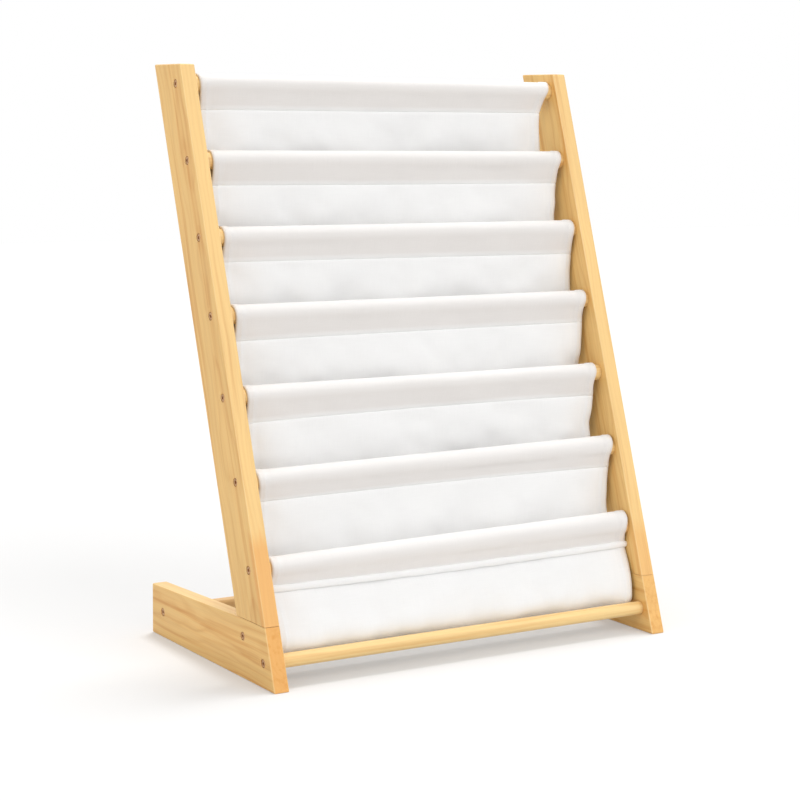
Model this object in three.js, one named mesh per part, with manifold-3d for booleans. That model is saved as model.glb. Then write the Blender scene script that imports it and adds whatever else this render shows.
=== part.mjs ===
// Sling bookshelf: two leaning side frames, ten round cross rails and one canvas sling with six pockets.
// Millimetres, +X to the right, +Y to the back, +Z up. The origin lies on the floor, in the middle
// of the footprint. Each side frame is an upright that stands on a foot and leans back from its front end.

import * as THREE from 'three';
import { mergeVertices } from 'three/addons/utils/BufferGeometryUtils.js';
import Module from 'manifold-3d';

// Overall sizes
const WIDTH = 600;
const HEIGHT = 750;
const FOOT_LENGTH = 342;
const LEAN = THREE.MathUtils.degToRad(18.8);

// Side boards
const BOARD = 21;
const UPRIGHT_WIDTH = 70;
const FOOT_FRONT_HEIGHT = 76;
const FOOT_BACK_HEIGHT = 67;
const EDGE_EASE = 1.6;
const CORNER_EASE = 3;

// Round rails
const SLING_RAIL_DIAMETER = 22;
const FOOT_RAIL_DIAMETER = 18;
const SLING_RAIL_INSET = 20;
const FRONT_RAIL_SETBACK = 30;
const FRONT_RAIL_HEIGHT = 31;
const LOWER_RAIL_SETBACK = 83;
const LOWER_RAIL_BELOW_JOINT = 23;
const REAR_RAIL_FROM_BACK = 32;
const REAR_RAIL_HEIGHT = 34;
const SOCKET_DEPTH = 5;
const slingRailHeightShares = [0.9757, 0.8483, 0.7222, 0.5949, 0.464, 0.3306, 0.1931];

// Screws and wooden pins
const SCREW_DIAMETER = 6;
const SCREW_HEAD_DIAMETER = 9.6;
const SCREW_HEAD_HEIGHT = 2.4;
const SCREW_TIP = 4;
const HEX_SOCKET = 4.6;
const HEX_DEPTH = 1.6;
const COUNTERBORE_DIAMETER = 11;
const RAIL_SCREW_LENGTH = 48;
const RAIL_SCREW_RECESS = 3.2;
const JOINT_SCREW_LENGTH = 80;
const JOINT_SCREW_RECESS = 25;
const PIN_DIAMETER = 8;
const PIN_LENGTH = 28;
const jointScrewPlaceShare = 0.5;
const pinPlaceShares = { front: 0.25, back: 0.8 };

// Canvas sling
const CANVAS = 1.5;
const CANVAS_SIDE_GAP = 5;
const SEAM_DROP = 32;
const SEAM_FORWARD = 3;
const SEAM_DRAW_IN = 3;
const PANEL_DRAW_IN = 7;
const FOLD_DEPTH = 2.4;
const POCKET_DEPTH = 64;
const LOW_POCKET_BULGE = 26;
const LOW_POCKET_BELOW_RAIL = 2;
const LOW_POCKET_REST_GAP = 1;
const seamDropShares = [1, 1, 1, 1, 1, 0.84, 0.76];

// Gaps that touching pieces keep
const CLEARANCE = 0.3;
const SCREW_CLEARANCE = 0.4;
const CLOTH_CLEARANCE = 0.4;

// How finely round and hanging shapes are cut
const RAIL_SIDES = 20;
const HOLE_SIDES = 12;
const SCREW_SIDES = 10;
const HEX_SIDES = 6;
const EASE_STEPS = 2;
const SLEEVE_LINE_STEPS = 2;
const SLEEVE_ARC_STEPS = 10;
const POCKET_STEPS = 15;
const SLEEVE_COLUMNS = 6;
const POCKET_COLUMNS = 8;
const FOLDS_ACROSS = 3;

// Sizes that follow from the ones above
const FRONT = -FOOT_LENGTH / 2;
const UPRIGHT_REACH = UPRIGHT_WIDTH / Math.cos(LEAN);
const LOWER_RAIL_HEIGHT = FOOT_FRONT_HEIGHT - LOWER_RAIL_BELOW_JOINT;
const SLING_RAIL_RADIUS = SLING_RAIL_DIAMETER / 2;
const FOOT_RAIL_RADIUS = FOOT_RAIL_DIAMETER / 2;
const OUTER_X = WIDTH / 2;
const INNER_X = OUTER_X - BOARD;
const CANVAS_HALF_WIDTH = INNER_X - CANVAS_SIDE_GAP;
const OVERRUN = BOARD;

const wasm = await Module();
wasm.setup();

// Finishes

const pine = new THREE.MeshStandardMaterial({ color: 0xe6bf85, roughness: 0.55, metalness: 0 });
const palePine = new THREE.MeshStandardMaterial({ color: 0xefcf98, roughness: 0.5, metalness: 0 });
const steel = new THREE.MeshStandardMaterial({ color: 0x8a7a66, roughness: 0.35, metalness: 0.9 });
const beech = new THREE.MeshStandardMaterial({ color: 0xd9b07c, roughness: 0.6, metalness: 0 });
const cloth = new THREE.MeshStandardMaterial({ color: 0xf3f1ee, roughness: 0.9, metalness: 0 });

// Solids and cuts

function solid(geometry) {
  const bare = geometry.clone();
  bare.deleteAttribute('normal');
  bare.deleteAttribute('uv');
  const merged = mergeVertices(bare);
  return new wasm.Manifold(new wasm.Mesh({
    numProp: 3,
    vertProperties: new Float32Array(merged.attributes.position.array),
    triVerts: new Uint32Array(merged.index.array),
  }));
}

function geometryOf(body) {
  const mesh = body.getMesh();
  const geometry = new THREE.BufferGeometry();
  geometry.setAttribute('position', new THREE.BufferAttribute(mesh.vertProperties, 3));
  geometry.setIndex(new THREE.BufferAttribute(mesh.triVerts, 1));
  geometry.computeVertexNormals();
  return geometry;
}

function cut(body, cutters) {
  return cutters.reduce((rest, cutter) => rest.subtract(solid(cutter)), body);
}

// A round bar along X, from one x to the other, at (y, z).
function barAlongX(radius, fromX, toX, y, z, sides) {
  const bar = new THREE.CylinderGeometry(radius, radius, Math.abs(toX - fromX), sides);
  bar.rotateZ(Math.PI / 2);
  bar.translate((fromX + toX) / 2, y, z);
  return bar;
}

// A round bar along Z, from one height to the other.
function barAlongZ(radius, fromZ, toZ, x, y, sides) {
  const bar = new THREE.CylinderGeometry(radius, radius, toZ - fromZ, sides);
  bar.rotateX(Math.PI / 2);
  bar.translate(x, y, (fromZ + toZ) / 2);
  return bar;
}

// The y of the uprights' front edge at height z.
function frontEdge(z) {
  return FRONT + z * Math.tan(LEAN);
}

// Where each rail crosses the side frames

function slingRail(share, index) {
  const along = share * HEIGHT / Math.cos(LEAN);
  return {
    name: `sling_rail_${index + 1}`,
    radius: SLING_RAIL_RADIUS,
    y: FRONT + along * Math.sin(LEAN) + SLING_RAIL_INSET * Math.cos(LEAN),
    z: along * Math.cos(LEAN) - SLING_RAIL_INSET * Math.sin(LEAN),
  };
}

const slingRails = slingRailHeightShares.map(slingRail);
const footRails = [
  { name: 'front_rail', radius: FOOT_RAIL_RADIUS, y: FRONT + FRONT_RAIL_SETBACK, z: FRONT_RAIL_HEIGHT },
  { name: 'lower_rail', radius: FOOT_RAIL_RADIUS, y: FRONT + LOWER_RAIL_SETBACK, z: LOWER_RAIL_HEIGHT },
  { name: 'rear_rail', radius: FOOT_RAIL_RADIUS, y: -FRONT - REAR_RAIL_FROM_BACK, z: REAR_RAIL_HEIGHT },
];

// Where the joint screw and the pins stand, along the joint between foot and upright
const jointPlace = (share) => frontEdge(FOOT_FRONT_HEIGHT) + share * UPRIGHT_REACH;
const jointScrewY = jointPlace(jointScrewPlaceShare);
const pinPlaces = Object.entries(pinPlaceShares).map(([name, share]) => ({ name, y: jointPlace(share) }));

// Side boards

// A board's outline in (y, z). Each corner is [y, z, ease], and is rounded over by its ease.
function easedOutline(corners) {
  const outline = new THREE.Shape();
  corners.forEach(([y, z, ease], index) => {
    const corner = new THREE.Vector2(y, z);
    const before = new THREE.Vector2(...corners.at(index - 1));
    const after = new THREE.Vector2(...corners[(index + 1) % corners.length]);
    const start = before.sub(corner).setLength(ease).add(corner);
    const end = after.sub(corner).setLength(ease).add(corner);
    if (index === 0) {
      outline.moveTo(start.x, start.y);
    } else {
      outline.lineTo(start.x, start.y);
    }
    if (ease > 0) {
      outline.quadraticCurveTo(corner.x, corner.y, end.x, end.y);
    }
  });
  return outline;
}

// The outline as a board that stands in the side frame, with its long edges eased.
function boardBlank(corners, side) {
  const blank = new THREE.ExtrudeGeometry(easedOutline(corners), {
    depth: BOARD - 2 * EDGE_EASE,
    bevelThickness: EDGE_EASE,
    bevelSize: EDGE_EASE,
    bevelOffset: -EDGE_EASE,
    bevelSegments: EASE_STEPS,
    curveSegments: EASE_STEPS,
  });
  const upright = new THREE.Matrix4().makeBasis(
    new THREE.Vector3(0, 1, 0),
    new THREE.Vector3(0, 0, 1),
    new THREE.Vector3(1, 0, 0),
  );
  blank.applyMatrix4(upright);
  blank.translate(side * (OUTER_X + INNER_X) / 2 - BOARD / 2 + EDGE_EASE, 0, 0);
  return solid(blank);
}

// A slab that takes away everything between two heights.
function levelCut(fromZ, toZ) {
  const slab = new THREE.BoxGeometry(WIDTH + OVERRUN, 2 * FOOT_LENGTH, toZ - fromZ);
  slab.translate(0, 0, (fromZ + toZ) / 2);
  return slab;
}

// The counterbore, screw hole and socket that one rail needs in one side.
function railHoles(rail, side) {
  const outer = side * OUTER_X;
  const inner = side * INNER_X;
  const screwRadius = SCREW_DIAMETER / 2 + SCREW_CLEARANCE;
  return [
    barAlongX(COUNTERBORE_DIAMETER / 2, outer - side * RAIL_SCREW_RECESS, outer + side * OVERRUN,
      rail.y, rail.z, HOLE_SIDES),
    barAlongX(screwRadius, inner - side * OVERRUN, outer + side * OVERRUN, rail.y, rail.z, HOLE_SIDES),
    barAlongX(rail.radius + CLEARANCE, inner - side * OVERRUN, inner + side * SOCKET_DEPTH,
      rail.y, rail.z, RAIL_SIDES),
  ];
}

// The holes across the joint, which the foot and the upright share.
function jointHoles(side) {
  const x = side * (OUTER_X + INNER_X) / 2;
  const pinReach = PIN_LENGTH / 2 + CLEARANCE;
  const screwTop = JOINT_SCREW_RECESS + JOINT_SCREW_LENGTH + CLEARANCE;
  return [
    barAlongZ(COUNTERBORE_DIAMETER / 2, -OVERRUN, JOINT_SCREW_RECESS, x, jointScrewY, HOLE_SIDES),
    barAlongZ(SCREW_DIAMETER / 2 + SCREW_CLEARANCE, 0, screwTop, x, jointScrewY, HOLE_SIDES),
    ...pinPlaces.map((pin) => barAlongZ(PIN_DIAMETER / 2 + CLEARANCE, FOOT_FRONT_HEIGHT - pinReach,
      FOOT_FRONT_HEIGHT + pinReach, x, pin.y, HOLE_SIDES)),
  ];
}

// The upright's blank runs down to the floor and is cut level at the joint.
function uprightBoard(side) {
  const blank = boardBlank([
    [FRONT, 0, 0],
    [FRONT + UPRIGHT_REACH, 0, 0],
    [frontEdge(HEIGHT) + UPRIGHT_REACH, HEIGHT, CORNER_EASE],
    [frontEdge(HEIGHT), HEIGHT, CORNER_EASE],
  ], side);
  const holes = slingRails.flatMap((rail) => railHoles(rail, side));
  return cut(blank, [levelCut(-OVERRUN, FOOT_FRONT_HEIGHT), ...holes, ...jointHoles(side)]);
}

// The foot's blank carries a stub of the upright, which is cut off level, so both meet at one sharp line.
function footBoard(side) {
  const stubTop = FOOT_FRONT_HEIGHT + UPRIGHT_WIDTH;
  const blank = boardBlank([
    [FRONT, 0, 0],
    [-FRONT, 0, CORNER_EASE],
    [-FRONT, FOOT_BACK_HEIGHT, CORNER_EASE],
    [frontEdge(FOOT_FRONT_HEIGHT) + UPRIGHT_REACH, FOOT_FRONT_HEIGHT, 0],
    [frontEdge(stubTop) + UPRIGHT_REACH, stubTop, 0],
    [frontEdge(stubTop), stubTop, 0],
  ], side);
  const holes = footRails.flatMap((rail) => railHoles(rail, side));
  const top = levelCut(FOOT_FRONT_HEIGHT - CLEARANCE, stubTop + OVERRUN);
  return cut(blank, [top, ...holes, ...jointHoles(side)]);
}

// Rails, screws and pins

// A rail fills both sockets, and has a pilot hole for a screw in each end.
function railBar(rail) {
  const end = INNER_X + SOCKET_DEPTH - CLEARANCE;
  const pilotDepth = RAIL_SCREW_LENGTH + RAIL_SCREW_RECESS - BOARD + SOCKET_DEPTH + SCREW_CLEARANCE;
  const pilots = [-1, 1].map((side) => barAlongX(SCREW_DIAMETER / 2 + SCREW_CLEARANCE,
    side * (end - pilotDepth), side * (end + OVERRUN), rail.y, rail.z, HOLE_SIDES));
  return cut(solid(barAlongX(rail.radius, -end, end, rail.y, rail.z, RAIL_SIDES)), pilots);
}

// A screw with its head's seat at the origin and its tip towards -Y.
function screwBody(length) {
  const shank = SCREW_DIAMETER / 2;
  const head = SCREW_HEAD_DIAMETER / 2;
  const rim = SCREW_HEAD_HEIGHT / 4;
  const profile = [
    [0, -length],
    [shank, SCREW_TIP - length],
    [shank, 0],
    [head, 0],
    [head, SCREW_HEAD_HEIGHT - rim],
    [head - rim, SCREW_HEAD_HEIGHT],
    [0, SCREW_HEAD_HEIGHT],
  ].map(([radius, height]) => new THREE.Vector2(radius, height));
  const socket = new THREE.CylinderGeometry(HEX_SOCKET / 2, HEX_SOCKET / 2, 2 * HEX_DEPTH, HEX_SIDES);
  socket.translate(0, SCREW_HEAD_HEIGHT, 0);
  return cut(solid(new THREE.LatheGeometry(profile, SCREW_SIDES)), [socket]);
}

const railScrewGeometry = geometryOf(screwBody(RAIL_SCREW_LENGTH - CLEARANCE));
const jointScrewGeometry = geometryOf(screwBody(JOINT_SCREW_LENGTH - CLEARANCE));

// Canvas sling

// A station of the cloth's middle line: where it is in (y, z), its normal, and how far along it lies.
function station(point, normal, drawIn, fold) {
  return { y: point.x, z: point.y, ny: normal.x, nz: normal.y, drawIn, fold };
}

// The first and last stations' normals are turned level, so that lengths of cloth meet squarely at a seam.
function levelEnds(stations) {
  for (const end of [stations[0], stations.at(-1)]) {
    end.ny = Math.sign(end.ny);
    end.nz = 0;
  }
  return stations;
}

function pointsOnLine(from, to, steps) {
  return Array.from({ length: steps }, (_, i) => from.clone().lerp(to, i / steps));
}

// A sheet through the stations: a flat box, bent so that each row of its corners lies on a station.
function clothSheet(stations, columns, wave) {
  const rows = stations.length - 1;
  const width = 2 * CANVAS_HALF_WIDTH;
  const sheet = new THREE.BoxGeometry(width, rows, CANVAS, columns, rows, 1);
  const corner = sheet.attributes.position;
  for (let i = 0; i < corner.count; i += 1) {
    const at = stations[Math.round(corner.getY(i) + rows / 2)];
    const across = corner.getX(i) / CANVAS_HALF_WIDTH;
    const x = across * (CANVAS_HALF_WIDTH - at.drawIn * across ** 4);
    const ripple = (1 + Math.cos(wave.count * Math.PI * across + wave.phase)) / 2;
    const off = at.fold * FOLD_DEPTH * ripple - corner.getZ(i);
    corner.setXYZ(i, x, at.y + off * at.ny, at.z + off * at.nz);
  }
  sheet.computeVertexNormals();
  return geometryOf(solid(sheet));
}

// The seam under a sling rail, where the cloth that goes over the rail is sewn to itself.
function seamUnder(index) {
  const rail = slingRails[index];
  return new THREE.Vector2(rail.y - SEAM_FORWARD, rail.z - SEAM_DROP * seamDropShares[index]);
}

// Half the distance between the middle lines of the two layers at a seam
const LAYER_OFFSET = (CANVAS + CLEARANCE) / 2;

// The sleeve goes up from the seam behind the rail, over it, and down to the seam in front of it.
function sleeveStations(index) {
  const rail = slingRails[index];
  const centre = new THREE.Vector2(rail.y, rail.z);
  const seam = seamUnder(index);
  const radius = SLING_RAIL_RADIUS + CLOTH_CLEARANCE + CANVAS / 2;
  const tangent = (end, turn) => {
    const reach = end.clone().sub(centre);
    return reach.angle() + turn * Math.acos(radius / reach.length());
  };
  const backEnd = seam.clone().add(new THREE.Vector2(LAYER_OFFSET, 0));
  const frontEnd = seam.clone().add(new THREE.Vector2(-LAYER_OFFSET, 0));
  const backAngle = tangent(backEnd, 1) - 2 * Math.PI;
  const frontAngle = tangent(frontEnd, -1);
  const onArc = (angle) => new THREE.Vector2(Math.cos(angle), Math.sin(angle));
  const arc = Array.from({ length: SLEEVE_ARC_STEPS + 1 }, (_, i) =>
    onArc(THREE.MathUtils.lerp(backAngle, frontAngle, i / SLEEVE_ARC_STEPS)));
  const arcPoint = (normal) => normal.clone().multiplyScalar(radius).add(centre);
  const rise = pointsOnLine(backEnd, arcPoint(arc[0]), SLEEVE_LINE_STEPS);
  const fall = pointsOnLine(frontEnd, arcPoint(arc.at(-1)), SLEEVE_LINE_STEPS).reverse();
  const drawIn = (point) => SEAM_DRAW_IN * Math.max(0, (rail.z - point.y) / (rail.z - seam.y));
  return levelEnds([
    ...rise.map((point) => station(point, arc[0], drawIn(point), 0)),
    ...arc.map((normal) => station(arcPoint(normal), normal, drawIn(arcPoint(normal)), 0)),
    ...fall.map((point) => station(point, arc.at(-1), drawIn(point), 0)),
  ]);
}

// A pocket hangs from one seam down to its foot and up to the seam below. Each point is a share of the
// step forward between the two seams, and a share of the drop above, or of the depth below, the lower seam.
const pocketBackShares = [[1, 1], [0.95, 0.55], [0.9, 0.12]];
const pocketFootShares = [[0.85, 0.5], [0.74, 0.86], [0.46, 1], [0.17, 0.85], [0.03, 0.45]];

function pocketPoints(from, to) {
  const run = from.x - to.x;
  const drop = from.y - to.y;
  return [
    ...pocketBackShares.map(([ahead, up]) => new THREE.Vector2(to.x + ahead * run, to.y + up * drop)),
    ...pocketFootShares.map(([ahead, down]) =>
      new THREE.Vector2(to.x + ahead * run, to.y - down * POCKET_DEPTH)),
    to,
  ];
}

// The lowest pocket's back wall comes forward from its hip to rest against the lower rail. Its toe hangs
// behind the front rail, a little below that rail's middle, and its front bulges past the seam above.
const hipShares = [[1, 1], [0.93, 0.66], [0.82, 0.25]];
const restShares = [[0.32, 0.42], [0.64, 0.69], [1, 1]];
const toeShares = [[0.45, 0.5]];
const bulgeShares = [[0.4, 1], [0.86, 0.88], [1, 0.66], [0.72, 0.34], [0.28, 0.08]];

function lowPocketPoints(from, to) {
  const lower = footRails.find((rail) => rail.name === 'lower_rail');
  const between = (start, end) => ([ahead, down]) => new THREE.Vector2(
    THREE.MathUtils.lerp(start.x, end.x, ahead),
    THREE.MathUtils.lerp(start.y, end.y, down),
  );
  const depth = to.y - FRONT_RAIL_HEIGHT + LOW_POCKET_BELOW_RAIL;
  const hips = hipShares.map(between(to, from));
  const rest = new THREE.Vector2(lower.y - lower.radius - LOW_POCKET_REST_GAP - CANVAS / 2, lower.z);
  const bulge = bulgeShares.map(between(to, new THREE.Vector2(to.x - LOW_POCKET_BULGE, to.y - depth)));
  return [
    ...hips,
    ...restShares.map(between(hips.at(-1), rest)),
    ...toeShares.map(between(rest, bulge[0])),
    ...bulge,
    to,
  ];
}

function pocketStations(index) {
  const below = new THREE.Vector2(0, -CLEARANCE);
  const from = seamUnder(index).add(below).add(new THREE.Vector2(-LAYER_OFFSET, 0));
  const to = seamUnder(index + 1).add(below).add(new THREE.Vector2(LAYER_OFFSET, 0));
  const lowest = index === slingRails.length - 2;
  const line = new THREE.SplineCurve(lowest ? lowPocketPoints(from, to) : pocketPoints(from, to));
  return levelEnds(Array.from({ length: POCKET_STEPS + 1 }, (_, i) => {
    const along = i / POCKET_STEPS;
    const tangent = line.getTangentAt(along);
    const hang = Math.sin(Math.PI * along);
    const drawIn = THREE.MathUtils.lerp(SEAM_DRAW_IN, PANEL_DRAW_IN, hang);
    return station(line.getPointAt(along), new THREE.Vector2(tangent.y, -tangent.x), drawIn, hang);
  }));
}

// The assembly

const bookshelf = new THREE.Group();

function add(name, geometry, material, parent = bookshelf) {
  const mesh = new THREE.Mesh(geometry, material);
  mesh.name = name;
  parent.add(mesh);
  return mesh;
}

const sides = [{ name: 'left', sign: -1 }, { name: 'right', sign: 1 }];

for (const { name, sign } of sides) {
  add(`upright_${name}`, geometryOf(uprightBoard(sign)), pine);
  add(`foot_${name}`, geometryOf(footBoard(sign)), pine);
}

for (const rail of [...slingRails, ...footRails]) {
  add(rail.name, geometryOf(railBar(rail)), palePine);
}

// Each screw's seat stands off the bottom of its counterbore by the clearance.
for (const { name, sign } of sides) {
  const seat = sign * (OUTER_X - RAIL_SCREW_RECESS + CLEARANCE);
  for (const rail of [...slingRails, ...footRails]) {
    const screw = add(`${rail.name}_screw_${name}`, railScrewGeometry, steel);
    screw.rotation.z = -sign * Math.PI / 2;
    screw.position.set(seat, rail.y, rail.z);
  }
}

for (const { name, sign } of sides) {
  const x = sign * (OUTER_X + INNER_X) / 2;
  const jointScrew = add(`joint_screw_${name}`, jointScrewGeometry, steel);
  jointScrew.rotation.x = -Math.PI / 2;
  jointScrew.position.set(x, jointScrewY, JOINT_SCREW_RECESS - CLEARANCE);
  for (const pin of pinPlaces) {
    const fromZ = FOOT_FRONT_HEIGHT - PIN_LENGTH / 2;
    const bar = barAlongZ(PIN_DIAMETER / 2, fromZ, fromZ + PIN_LENGTH, x, pin.y, HOLE_SIDES);
    add(`joint_pin_${name}_${pin.name}`, geometryOf(solid(bar)), beech);
  }
}

slingRails.forEach((rail, index) => {
  const wave = { count: FOLDS_ACROSS, phase: index };
  add(`canvas_sleeve_${index + 1}`, clothSheet(sleeveStations(index), SLEEVE_COLUMNS, wave), cloth);
  if (index < slingRails.length - 1) {
    add(`canvas_pocket_${index + 1}`, clothSheet(pocketStations(index), POCKET_COLUMNS, wave), cloth);
  }
});

export default bookshelf;
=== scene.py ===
from math import acos, atan2, copysign, cos, pi, radians, sin, tan, tau

import bmesh
import bpy
import numpy as np
from mathutils import Matrix, Vector, noise

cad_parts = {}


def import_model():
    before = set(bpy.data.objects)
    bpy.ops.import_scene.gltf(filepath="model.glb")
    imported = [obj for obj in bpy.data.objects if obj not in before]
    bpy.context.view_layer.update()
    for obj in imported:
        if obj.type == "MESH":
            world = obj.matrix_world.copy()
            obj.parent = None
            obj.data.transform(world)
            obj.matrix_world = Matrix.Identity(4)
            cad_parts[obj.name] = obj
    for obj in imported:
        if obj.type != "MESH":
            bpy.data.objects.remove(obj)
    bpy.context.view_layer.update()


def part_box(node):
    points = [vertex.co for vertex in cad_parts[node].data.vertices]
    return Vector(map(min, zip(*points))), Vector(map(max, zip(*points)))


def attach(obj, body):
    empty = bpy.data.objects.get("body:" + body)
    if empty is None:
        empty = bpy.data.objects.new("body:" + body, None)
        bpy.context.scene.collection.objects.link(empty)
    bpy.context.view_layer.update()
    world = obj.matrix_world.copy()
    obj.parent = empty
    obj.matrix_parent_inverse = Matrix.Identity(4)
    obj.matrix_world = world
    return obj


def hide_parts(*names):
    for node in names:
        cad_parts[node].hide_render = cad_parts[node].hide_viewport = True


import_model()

MM = 0.001
NEARLY_NOTHING = 0.001 * MM
SAME_PLACE = 0.01 * MM
CREASE = radians(32)

# Side boards
LEAN = radians(18.8)
UPRIGHT_WIDTH = 70 * MM
UPRIGHT_REACH = UPRIGHT_WIDTH / cos(LEAN)
FOOT_BACK_HEIGHT = 67 * MM
BOARD_EASE = 1.9 * MM
JOINT_GAPS = {"left": 0.15 * MM, "right": 0.04 * MM}
JOINT_EASES = {"left": 0.6 * MM, "right": 0.3 * MM}
EASE_STEPS = 4
SOCKET_DEPTH = 5 * MM
SOCKET_PLAY = 0.3 * MM
SCREW_HOLE_RADIUS = 3.4 * MM
COUNTERBORE_RADIUS = 5.5 * MM
COUNTERBORE_DEPTH = 3.2 * MM
JOINT_COUNTERBORE_DEPTH = 25 * MM
RIM_EASE = 0.35 * MM
OVERRUN = 4 * MM
HOLE_SIDES = 40

# Rails, screws and pins
RAIL_SIDES = 64
RAIL_END_EASE = 1.2 * MM
SCREW_RADIUS = 3 * MM
HEAD_RADIUS = 4.8 * MM
HEAD_HEIGHT = 2.4 * MM
HEAD_EASE = 0.7 * MM
HEX_RADIUS = 2.3 * MM
HEX_DEPTH = 1.6 * MM
HEX_CORNERS = 6
SCREW_SIDES = 36
TIP_LENGTH = 4 * MM
TIP_RADIUS = 0.3 * MM
PIN_SIDES = 24
PIN_END_EASE = 1 * MM

# Canvas strip: its cloth, and its line over seven rails and down into six pockets
CLOTH = 1.2 * MM
HEM_CLOTH = 2.7 * MM
CLOTH_PLAY = 0.5 * MM
LAYER_OFFSET = 1.3 * MM
SEAM_PINCH = 0.7 * MM
SEAM_CREASE = 0.16
STRIP_HALF = 274 * MM
HEM_WIDTH = 10.5 * MM
HEM_STEP = 0.9 * MM
SEAM_DROP = 32 * MM
SEAM_FORWARD = 3 * MM
SLEEVE_HUG = radians(11)
POCKET_DEPTH = 64 * MM
LOW_POCKET_BULGE = 26 * MM
LOW_POCKET_BELOW_RAIL = 2 * MM
LOW_POCKET_REST = 1.7 * MM
seam_shares = [1, 1, 1, 1, 1, 0.84, 0.76]

# How finely the strip is made: rows for each length of its line, and columns across it
SIM_COLUMNS = 64
RISE_ROWS = 3
ARC_ROWS = 8
FALL_ROWS = 4
POCKET_ROWS = 26
FINAL_COLUMN = 7.6 * MM

# How far the strip's edges stay from the side boards, in millimetres. Each tier's numbers go down: over
# the rail, in front of it, halfway down the sleeve, at its seam, and a fifth, a half and three quarters
# round the pocket below.
gap_places = [0, 1, 1.5, 2, 2.2, 2.5, 2.75]
left_gaps = [
    [7.0, 8.5, 10, 11, 12, 12, 11],
    [9.0, 10, 11, 11, 12, 12, 11],
    [9.0, 10, 10, 10, 11, 11, 10],
    [7.4, 9, 10, 10, 11, 11, 10],
    [6.7, 8, 9, 9, 11, 11, 10],
    [3.5, 6, 8, 8, 9, 9, 8],
    [5.0, 6, 6, 4],
]
right_gaps = [
    [3.5, 8.5, 13, 16.5, 16, 13, 11],
    [3.5, 7.0, 9, 9, 13, 10.5, 8],
    [4.0, 5.5, 5, 4, 5.5, 8, 9],
    [3.0, 6.5, 7.5, 6, 8.5, 8.5, 9],
    [7.5, 11, 12, 9.5, 15, 13.5, 9],
    [2.5, 6.5, 8.0, 6.0, 10.5, 9, 6.5],
    [2.0, 5.5, 5.2, 1.5],
]

# How much higher the cloth lies than its straight line, in millimetres, at the left end, the middle and
# the right end: over each rail, and along each seam.
rail_lifts = [(0.3, 0.4, 0.6), (0.2, 0.5, 0.5), (0.3, 0.2, 0.4), (0.5, 0.2, 0.4), (0.8, 0.4, 0.3),
              (0.6, 2.4, 4.6), (1.0, 4.6, 8.0)]
seam_lifts = [(-0.5, 0.8, 2.2), (0.8, 0.2, 0.7), (0.4, -0.6, -2.0), (-0.8, 0.5, 0.8), (-1.6, 2.0, 0.8),
              (0.1, 2.2, 0.6), (0.2, -1.6, 1.0)]

# How the cloth hangs: how long it settles, its slack, how far its hems pull in, and how firmly it is held
SIM_FRAMES = 26
SLACK = 0.005
HEM_PULL = 0.007
HELD_AT_SEAM, HELD_ON_RAIL, HELD_ON_SLEEVE, HELD_IN_POCKET = 1.0, 0.9, 0.25, 0.38
cloth_settings = {
    "quality": 6, "mass": 0.002, "tension_stiffness": 30, "compression_stiffness": 30,
    "shear_stiffness": 14, "bending_stiffness": 0.8, "tension_damping": 20, "compression_damping": 20,
    "shear_damping": 20, "air_damping": 3, "vertex_group_mass": "pinned", "pin_stiffness": 1.0,
    "vertex_group_shrink": "slack", "shrink_min": HEM_PULL, "shrink_max": -SLACK,
}
SIM_GRAVITY = 0.15

# The cloth's soft waves, each with its height in millimetres, number a metre and seed, and its puckers
cloth_waves = [(6, 10, 3.1), (2, 24, 8.4)]
PUCKER_HEIGHT = 6
PUCKER_REACH = 80 * MM
LOOSE_ON_SLEEVE = 0.22

# How much painted shade greys the sleeves over and beside each rail, for the pine showing through and the
# double cloth's shade
SHADE_PAINTED_OVER_RAIL = 0.35
SHADE_PAINTED_BESIDE_RAIL = 0.95

# Weave and sewing
WEAVE_PITCH = 0.75 * MM
STITCH_PITCH = 3.6 * MM
STITCH_LENGTH = 2.7 * MM
THREAD = 0.42 * MM
HEM_STITCH_INSET = 8.6 * MM
END_HEM_HEIGHT = 9 * MM
END_HEM_DEPTH = 6.4 * MM
END_HEM_PROUD = 1.4 * MM
END_HEM_SIDES = 12
END_HEM_SQUARENESS = 0.75

# Light and camera
FLOOR_COLOUR = (0.6, 0.6, 0.6, 1)
FLOOR_GLOW = 0.24
AMBIENT = 0.52
CAMERA_PLACE = Vector((-1.41707, -2.22015, 0.68245))
CAMERA_YAW = radians(32.173)
CAMERA_PITCH = radians(7.925)
CAMERA_ROLL = radians(0.734)
CAMERA_FOCAL = 2005.48
IMAGE_WIDTH = 800

sling_rails = [f"sling_rail_{number}" for number in range(1, 8)]
foot_rails = ["front_rail", "lower_rail", "rear_rail"]
SIDES = {"left": -1, "right": 1}


# Small helpers

def srgb(red, green, blue):
    """A colour as it shows on a screen, 0 to 255 a channel, as the linear colour that a shader takes."""
    return tuple(((channel / 255 + 0.055) / 1.055) ** 2.4 for channel in (red, green, blue)) + (1.0,)


def linked(name, data):
    made = bpy.data.objects.new(name, data)
    bpy.context.scene.collection.objects.link(made)
    return made


def face_outwards(bm):
    bmesh.ops.recalc_face_normals(bm, faces=bm.faces)


def mesh_of(name, bm):
    mesh = bpy.data.meshes.new(name)
    bm.to_mesh(mesh)
    bm.free()
    return mesh


def piece(name, bm, material, nodes=(), crease=CREASE):
    """A finished piece of the bookshelf, which stands for the solids named in nodes."""
    mesh = mesh_of(name, bm)
    mesh.materials.append(material)
    mesh.shade_smooth()
    mesh.set_sharp_from_angle(angle=crease)
    made = linked(name, mesh)
    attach(made, "root")
    if nodes:
        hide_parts(*nodes)
    return made


def middle_of(node):
    low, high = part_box(node)
    return (low + high) / 2


def radius_of(rail):
    low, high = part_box(rail)
    return (high.z - low.z) / 2


# Shader nodes

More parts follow.
